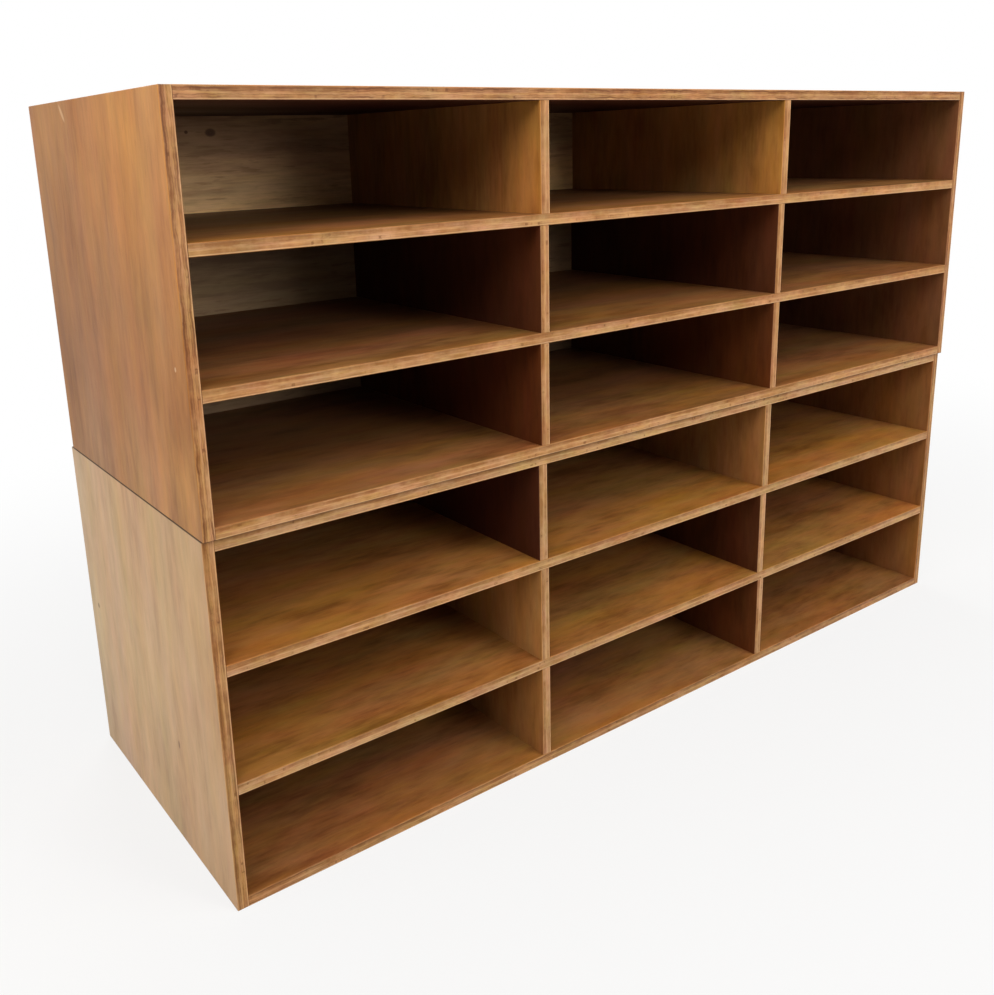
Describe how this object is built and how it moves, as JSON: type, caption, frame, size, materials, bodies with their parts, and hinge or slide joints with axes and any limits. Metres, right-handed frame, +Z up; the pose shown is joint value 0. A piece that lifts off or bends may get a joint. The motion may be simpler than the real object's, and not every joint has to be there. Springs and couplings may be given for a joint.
{
  "type": "pigeonhole cabinet",
  "caption": "Wide open-fronted pigeonhole cabinet of two stacked plywood cases, each divided into a grid of flat openings for papers or folded goods.",
  "frame": {"origin": "middle of the base of the whole stack, on the surface it stands on", "axes": "+X to the right along the long front, +Y to the back, +Z up; the open front faces -Y"},
  "size_m": [1.1914, 0.3964, 0.768],
  "materials": {
    "red_plywood": "satin",
    "tan_plywood": "satin",
    "back_ply": "matte",
    "dowel_beech": "matte",
    "pin_steel": "dull"
  },
  "bodies": {
    "lower_case": {"lower_case_back_panel": "back_ply", "lower_case_back_pins": "pin_steel", "lower_case_bottom": "tan_plywood", "lower_case_bottom_left_divider": "tan_plywood", "lower_case_bottom_right_divider": "tan_plywood", "lower_case_corner_dowels": "dowel_beech", "lower_case_high_shelf": "tan_plywood", "lower_case_left_side": "tan_plywood", "lower_case_low_shelf": "tan_plywood", "lower_case_middle_left_divider": "tan_plywood", "lower_case_middle_right_divider": "tan_plywood", "lower_case_right_side": "tan_plywood", "lower_case_top": "tan_plywood", "lower_case_top_left_divider": "tan_plywood", "lower_case_top_right_divider": "tan_plywood"},
    "upper_case": {"upper_case_back_panel": "back_ply", "upper_case_back_pins": "pin_steel", "upper_case_bottom": "red_plywood", "upper_case_bottom_left_divider": "red_plywood", "upper_case_bottom_right_divider": "red_plywood", "upper_case_corner_dowels": "dowel_beech", "upper_case_high_shelf": "red_plywood", "upper_case_left_side": "red_plywood", "upper_case_low_shelf": "red_plywood", "upper_case_middle_left_divider": "red_plywood", "upper_case_middle_right_divider": "red_plywood", "upper_case_right_side": "red_plywood", "upper_case_top": "red_plywood", "upper_case_top_left_divider": "red_plywood", "upper_case_top_right_divider": "red_plywood"}
  },
  "joints": [
    {"name": "upper_case_lift", "type": "slide", "parent": "lower_case", "child": "upper_case", "axis": [0, 0, 1], "range_m": [0, 0.12]}
  ]
}
